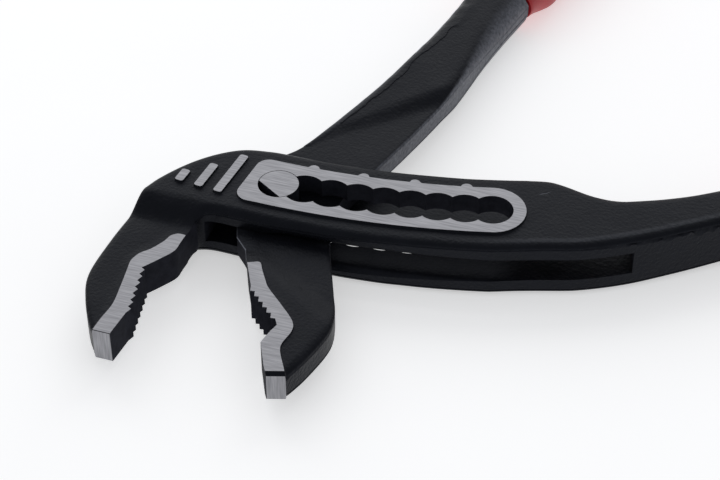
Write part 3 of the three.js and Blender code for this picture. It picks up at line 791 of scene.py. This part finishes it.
INNER_EDGE = 0.8
INNER_EDGE_RISE = 1.3
INNER_EDGE_MOST = 2.0
INNER_SKIN_WAVE = 0.08
FLANK_SPAN = (-46, -8)
FLANK_DROP = 2.0
FLANK_WIDTH = 2.0
LEFT_TORN_FROM = 20
LEFT_TORN_WAVE = (3.2, 0.22)
LEFT_TORN_SWAY = (9, 0.2)
LEFT_TORN_STEP = 0.16
LEFT_TORN_ROWS = np.arange(1.7, 4.6, 0.16)
LEFT_TORN_EVERY = 8
MOVING_TIP_CHAMFER = (0.8, 0.75)
# Painted reflection: lighter grey on the handle's right flank.
PAINTED_FLANK_SHEEN = 0.55
PAINTED_FLANK_SHEEN_REACH = 0.3
PAINTED_FLANK_SHEEN_SPREAD = 1.6
PAINTED_FLANK_SHEEN_GAIN = 1.4
# Lighter grey along the corners of the tongue.
PALE_CORNER = 0.9
PALE_CORNER_REACH = 0.16
PALE_CORNER_DEPTH = 0.3
TONGUE_CORNER_POINTS = slice(2, 12)
# Painted highlight: lighter grey along the handle's left rounded edge.
PAINTED_LEFT_HIGHLIGHT = 0.4
PAINTED_LEFT_HIGHLIGHT_REACH = 1.8
PAINTED_LEFT_HIGHLIGHT_FROM = (20, 32)
CORNER_LINE = 0.15

inner_line = handle_line(INNER_START, INNER_HEADING, -HANDLE_BOW)
inner_tang, inner_shoulders, inner_way = tang_run(inner_line, INNER_SHANK_WIDTH)
boss = arc((0, 0), BOSS_RADIUS, *BOSS_SPAN, RIM_SPACING)
moving_teeth = toothed(MOVING_GRIP_LOW[0], MOVING_GRIP_HIGH[-1], MOVING_TEETH, TOOTH_LEAN)[::-1]
moving_tip_line = straight([MOVING_GRIP_LOW[-1], MOVING_TIP], RIM_SPACING)
handle_right = smooth([*HANDLE_RIGHT, inner_shoulders[0]], RIM_SPACING)
handle_left = smooth([inner_shoulders[1], *HANDLE_LEFT], RIM_SPACING)
tongue_right = smooth(TONGUE_RIGHT, RIM_SPACING)
tongue_corners = [straight(TONGUE_LEFT, FINE_SPACING), tongue_right[TONGUE_CORNER_POINTS]]
inner_runs = [
    ("ground", moving_tip_line),
    ("forged", smooth(MOVING_BACK, RIM_SPACING)),
    ("cut", tongue_right),
    ("forged", handle_right),
    ("cut", inner_tang),
    ("forged", handle_left),
    ("cut", np.vstack([HANDLE_LEFT[-1:], boss, straight([*TONGUE_LEFT, MOVING_GRIP_HIGH[0]], FINE_SPACING)])),
    ("cut", np.vstack([straight(MOVING_GRIP_HIGH, RIM_SPACING), moving_teeth[1:],
                       straight(MOVING_GRIP_LOW, RIM_SPACING)[1:]])),
]


def handle_middle(y):
    """Middle of the handle's width, across the plan."""
    left = np.interp(y, handle_left[::-1, 1], handle_left[::-1, 0])
    return (left + np.interp(y, handle_right[:, 1], handle_right[:, 0])) / 2


def inner_sheen_and_pale_corners(points, height):
    """Painted reflection on the handle's right flank, painted highlight on its left edge, and pale tongue
    corners.
    """
    past = (points - INNER_START) @ inner_way
    reach = PAINTED_FLANK_SHEEN_REACH + (FLANK_WIDTH + PAINTED_FLANK_SHEEN_SPREAD) * eased(past, *FLANK_SPAN)
    # Painted reflection along the right flank.
    side = np.clip(PAINTED_FLANK_SHEEN_GAIN * (1 - distance_to(points, [handle_right]) / reach), 0, 1)
    corner = np.clip(1 - distance_to(points, tongue_corners) / PALE_CORNER_REACH, 0, 1)
    corner = corner * (height > TONGUE_TOP - PALE_CORNER_DEPTH)
    # Painted highlight along the left edge.
    edge = np.clip(1 - distance_to(points, [handle_left]) / PAINTED_LEFT_HIGHLIGHT_REACH, 0, 1)
    edge = edge * eased(points[:, 1], *PAINTED_LEFT_HIGHLIGHT_FROM)
    bare = past < SHOULDER
    return np.maximum.reduce([PAINTED_FLANK_SHEEN * side * bare, PALE_CORNER * corner, PAINTED_LEFT_HIGHLIGHT * edge * bare])


def inner_shape(points):
    """Tongue, rising by soft ramps to the jaw on one side of the box and to the handle on the other."""
    jaw = np.full(len(points), JAW_TOP)
    for turn in JAW_RAMP_TURNS:
        along = points @ (math.sin(turn), -math.cos(turn))
        rise = eased(along, RAMP_FOOT, RAMP_FOOT + JAW_RAMP_RUN)
        jaw = np.minimum(jaw, TONGUE_TOP + (JAW_TOP - TONGUE_TOP) * rise)
    out = points @ (math.cos(HANDLE_RAMP_HEADING), math.sin(HANDLE_RAMP_HEADING)) - HANDLE_RAMP_FOOT
    across = points @ (math.sin(HANDLE_RAMP_HEADING), -math.cos(HANDLE_RAMP_HEADING))
    share = np.clip((across - HANDLE_RAMP_ENDS[0]) / (HANDLE_RAMP_ENDS[1] - HANDLE_RAMP_ENDS[0]), 0, 1)
    ramp_top = HANDLE_RAMP_TOP[0] + (HANDLE_RAMP_TOP[1] - HANDLE_RAMP_TOP[0]) * share
    run = HANDLE_RAMP_RUN[0] + (HANDLE_RAMP_RUN[1] - HANDLE_RAMP_RUN[0]) * share
    handle = TONGUE_TOP + (ramp_top - TONGUE_TOP) * eased(out / run, 0, 1)
    handle = handle + (INNER_SHANK_TOP - ramp_top) * eased(out, *HANDLE_RISE)
    top = np.maximum(jaw, np.where(out > 0, handle, TONGUE_TOP))
    lifted = top - TONGUE_TOP
    past = (points - INNER_START) @ inner_way
    flank = eased(past, *FLANK_SPAN)
    drop = INNER_DROP + np.minimum(INNER_DROP_RISE * lifted, INNER_DROP_MOST) + FLANK_DROP * flank
    width = INNER_EDGE + np.minimum(INNER_EDGE_RISE * lifted, INNER_EDGE_MOST) + FLANK_WIDTH * flank
    left = (points[:, 1] > LEFT_TORN_FROM) & (points[:, 0] < handle_middle(points[:, 1]))
    width = width * np.where(left, 1 + waves(points, *LEFT_TORN_WAVE) + waves(points, *LEFT_TORN_SWAY), 1)
    torn_edge = distance_to(points, [handle_left]) < width
    top = top + np.where(left & torn_edge, LEFT_TORN_STEP, 0)
    drop = np.where(past > SHOULDER, 0, drop)
    top = np.where(past > SHOULDER, TANG_TOP, top + waves(points, SKIN_WAVE_SIZE, INNER_SKIN_WAVE))
    return top, width, drop


bore = arc((0, 0), BORE_RADIUS, 0, 2 * math.pi, STRIP_SPACING)[:-1]
moving_strip = np.vstack([straight(MOVING_STRIP_TOP, ROUND_SPACING), smooth(MOVING_STRIP, STRIP_SPACING)[1:]])
inner_lands = [(STRIP_TOP, moving_strip[::-1], np.vstack([moving_strip, MOVING_STRIP_GAP]))]
edge_lines = [shifted(line, -CORNER_LINE, False) for line in tongue_corners]
torn_line = smooth(handle_left[::LEFT_TORN_EVERY], FINE_SPACING)
torn_rows = [shifted(torn_line, -row, False) for row in LEFT_TORN_ROWS]
inner_half = forged_solid("inner_half_forging", inner_runs, [bore], inner_lands, inner_shape,
                          shoulder_lines(inner_shoulders, inner_way) + edge_lines,
                          [(moving_tip_line, *MOVING_TIP_CHAMFER)], [np.vstack(torn_rows)])
shade(inner_half)
rub_and_sheen(inner_half, inner_sheen_and_pale_corners)
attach(inner_half, "inner_body")
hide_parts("inner_half")

# Pivot pin
# A hardened steel pin pressed in the tongue, with black sides and ends ground flush with the ring.
# It has one flat, which lets it pass the necks of the channel when the jaws are swung wide open.
PIN_RADIUS = 4.5
PIN_FLAT = 2.6
PIN_FLAT_HEADING = math.radians(-122.4)
PIN_RIM_SHARE = 0.98
PIN_COVER_SHARE = 1.5
flat_half = math.acos(PIN_FLAT / PIN_RADIUS)
pin_round = arc((0, 0), PIN_RADIUS, PIN_FLAT_HEADING + flat_half,
                PIN_FLAT_HEADING + 2 * math.pi - flat_half, FINE_SPACING)


def pin_shape(points):
    """Level ends."""
    count = len(points)
    return np.full(count, RING_TOP), np.ones(count), np.zeros(count)


pin_lands = [(RING_TOP, closed(pin_round * PIN_RIM_SHARE), pin_round * PIN_COVER_SHARE)]
pivot_pin = forged_solid("pivot_pin_steel", [("cut", closed(pin_round))], [], pin_lands, pin_shape)
shade(pivot_pin)
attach(pivot_pin, "inner_body")
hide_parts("pivot_pin")

# Grip sleeves
# Two moulded red plastic sleeves pushed over the tangs, with a rolled lip at the front and a round end.
GRIP_WIDTH = 17.0
GRIP_THICKNESS = 15.0
GRIP_GUARD = 1.0
GRIP_GUARD_LENGTH = 17.0
GRIP_LIP = 0.8
GRIP_BELLY = 1.1
GRIP_MOUTH = 0.5
SLEEVE_SIDES = 48
MOUTH_SQUARENESS = 1.8
SLEEVE_SQUARENESS = 3.0
SLEEVE_SWELL = 15.0
BORE_ROWS = ((2.5, 0.2), (1.2, 0.3))
LIP_WIDTH = 1.0
LIP_HEIGHT = 0.8
LIP_ROUND = 1.2
FRONT_STATIONS = 30
BODY_STATIONS = 60
END_STATIONS = 14
BELLY_END = 8
END_ROUNDNESS = 0.6
END_CAP = 0.3
HEADING_STEP = 0.5

# Soft moulded plastic: saturated red and satin, with a fine moulded grain that softens its highlights.
red_plastic, shader = new_material("red_moulded_plastic")
where = add_node(red_plastic, "ShaderNodeTexCoord", {}).outputs["Object"]
stipple = add_node(red_plastic, "ShaderNodeTexNoise",
                   {"Vector": where, "Scale": per_mm(0.4), "Detail": 2.0})
clouds = add_node(red_plastic, "ShaderNodeTexNoise", {"Vector": where, "Scale": per_mm(9), "Detail": 2.0})
hue = add_node(red_plastic, "ShaderNodeValToRGB", {"Fac": clouds.outputs["Fac"]})
hue.color_ramp.elements[0].position = 0.3
hue.color_ramp.elements[0].color = linear("#a0101a")
hue.color_ramp.elements[1].position = 0.7
hue.color_ramp.elements[1].color = linear("#ac1620")
grainy = add_node(red_plastic, "ShaderNodeBump", {"Height": stipple.outputs["Fac"], "Distance": 0.03 * MM})
red_plastic.node_tree.links.new(hue.outputs["Color"], shader.inputs["Base Color"])
red_plastic.node_tree.links.new(grainy.outputs["Normal"], shader.inputs["Normal"])
shader.inputs["Roughness"].default_value = 0.42


def sleeve(name, line, shank_width, shank_top):
    """A lofted sleeve: rings from inside its mouth, over the lip, along the handle to a round end."""
    length = len(line) - 1
    angle = np.linspace(0, 2 * math.pi, SLEEVE_SIDES, endpoint=False)
    mouth_half = shank_width / 2 + GRIP_LIP
    mouth_top = shank_top + GRIP_LIP / 2
    end_start = length - GRIP_WIDTH / 2
    stations = [(depth, TANG_WIDTH / 2 + play, TANG_TOP + play) for depth, play in BORE_ROWS]
    stations.append((GRIP_MOUTH, mouth_half - LIP_WIDTH, mouth_top - LIP_HEIGHT))
    for s in np.concatenate([np.linspace(GRIP_MOUTH, SLEEVE_SWELL, FRONT_STATIONS),
                             np.linspace(SLEEVE_SWELL + 1, end_start, BODY_STATIONS)]):
        grown = eased(s, 0, SLEEVE_SWELL)
        guard = GRIP_GUARD * math.sin(math.pi * min(1, s / GRIP_GUARD_LENGTH))**2
        full = GRIP_WIDTH / 2 + guard + GRIP_BELLY * math.sin(math.pi * min(1, s / (length - BELLY_END)))
        lip = 1 - math.sqrt(1 - max(0, 1 - s / LIP_ROUND)**2)
        stations.append((s, mouth_half + (full - mouth_half) * grown - LIP_WIDTH * lip,
                         mouth_top + (GRIP_THICKNESS / 2 - mouth_top) * grown - LIP_HEIGHT * lip))
    start_half = stations[-1][1]
    for turn in np.linspace(0, math.pi / 2, END_STATIONS)[1:]:
        stations.append((end_start + GRIP_WIDTH / 2 * math.sin(turn),
                         max(start_half * math.cos(turn), END_CAP),
                         max(GRIP_THICKNESS / 2 * math.cos(turn)**END_ROUNDNESS, END_CAP)))
    at = np.arange(len(line))

    def on_line(s):
        return np.array([np.interp(s, at, line[:, 0]), np.interp(s, at, line[:, 1])])

    vertices, polygons = [], []
    for s, half, top in stations:
        way = on_line(s + HEADING_STEP) - on_line(s - HEADING_STEP)
        way = way / np.linalg.norm(way)
        side = np.array([way[1], -way[0]])
        power = 2 / (MOUTH_SQUARENESS + (SLEEVE_SQUARENESS - MOUTH_SQUARENESS) * eased(s, 0, SLEEVE_SWELL))
        across = np.sign(np.cos(angle)) * np.abs(np.cos(angle))**power
        up = np.sign(np.sin(angle)) * np.abs(np.sin(angle))**power
        ring_points = on_line(s) + side * (across * half)[:, None]
        vertices.append(np.column_stack([ring_points, MIDDLE + up * top]))
    vertices = np.vstack(vertices)
    n = SLEEVE_SIDES
    for k in range(len(stations) - 1):
        for i in range(n):
            j = (i + 1) % n
            polygons.append((k * n + i, (k + 1) * n + i, (k + 1) * n + j, k * n + j))
    polygons.append(tuple(range(n)))
    polygons.append(tuple(reversed(range((len(stations) - 1) * n, len(stations) * n))))
    mesh = bpy.data.meshes.new(name)
    mesh.from_pydata((vertices * MM).tolist(), [], polygons)
    piece = bpy.data.objects.new(name, mesh)
    bpy.context.scene.collection.objects.link(piece)
    shade(piece)
    piece.data.materials.append(red_plastic)
    return piece


for node, body, line, width, top in (
        ("slotted_half_grip", "slotted_body", slotted_line, SHANK_WIDTH, SHANK_TOP),
        ("inner_half_grip", "inner_body", inner_line, INNER_SHANK_WIDTH, INNER_SHANK_TOP)):
    grip = sleeve(node + "_sleeve", line, width, top)
    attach(grip, body)
    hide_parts(node)

# Studio
# A plain white table in a white room, lit by one wide soft box behind the tool.
# The table glows a little, as a white ground does when it is exposed to pure white.
floor_mesh = bpy.data.meshes.new("studio_floor")
floor_mesh.from_pydata([(-3, -3, 0), (3, -3, 0), (3, 3, 0), (-3, 3, 0)], [], [(0, 1, 2, 3)])
floor = bpy.data.objects.new("studio_floor", floor_mesh)
bpy.context.scene.collection.objects.link(floor)
# Matt white board: no sheen, and bright enough to burn out round the tool's soft shadow.
white_board, shader = new_material("white_table_board")
where = add_node(white_board, "ShaderNodeTexCoord", {}).outputs["Object"]
fibre = add_node(white_board, "ShaderNodeTexNoise", {"Vector": where, "Scale": per_mm(40), "Detail": 2.0})
paper = add_node(white_board, "ShaderNodeValToRGB", {"Fac": fibre.outputs["Fac"]})
paper.color_ramp.elements[0].color = linear("#f2f2f2")
paper.color_ramp.elements[1].color = linear("#f6f6f6")
white_board.node_tree.links.new(paper.outputs["Color"], shader.inputs["Base Color"])
shader.inputs["Roughness"].default_value = 0.9
shader.inputs["Specular IOR Level"].default_value = 0.0
shader.inputs["Emission Color"].default_value = (1, 1, 1, 1)
shader.inputs["Emission Strength"].default_value = 0.48
floor.data.materials.append(white_board)

world = bpy.data.worlds.new("white_room")
bpy.context.scene.world = world
world.use_nodes = True
world.node_tree.nodes["Background"].inputs["Color"].default_value = linear("#f4f6fa")
world.node_tree.nodes["Background"].inputs["Strength"].default_value = 0.45


def soft_box(name, place, target, size, power):
    """A rectangular area light that faces its target."""
    light = bpy.data.lights.new(name, "AREA")
    light.shape = "RECTANGLE"
    light.size, light.size_y = size
    light.energy = power
    lamp = bpy.data.objects.new(name, light)
    bpy.context.scene.collection.objects.link(lamp)
    lamp.location = place
    lamp.rotation_euler = (Vector(target) - Vector(place)).to_track_quat("-Z", "Y").to_euler()
    return lamp


soft_box("back_box", (-0.38, 1.18, 0.9), (0.03, 0.03, 0), (2.2, 1.1), 8.2)

# The camera is fitted to the photograph.
CAMERA_PLACE = (123.70, -317.97, 299.89)
CAMERA_RIGHT = (0.9503, 0.3112, -0.0018)
CAMERA_UP = (-0.2050, 0.6304, 0.7487)
CAMERA_AHEAD = (-0.2342, 0.7112, -0.6629)
camera_data = bpy.data.cameras.new("camera")
camera_data.lens = 100
camera_data.sensor_width = 36
camera_data.sensor_fit = "HORIZONTAL"
camera_data.clip_start = 0.01
camera = bpy.data.objects.new("camera", camera_data)
bpy.context.scene.collection.objects.link(camera)
turn = Matrix((CAMERA_RIGHT, CAMERA_UP, -Vector(CAMERA_AHEAD))).transposed()
camera.matrix_world = Matrix.Translation(Vector(CAMERA_PLACE) * MM) @ turn.to_4x4()
bpy.context.scene.camera = camera
bpy.context.scene.view_settings.view_transform = "Standard"
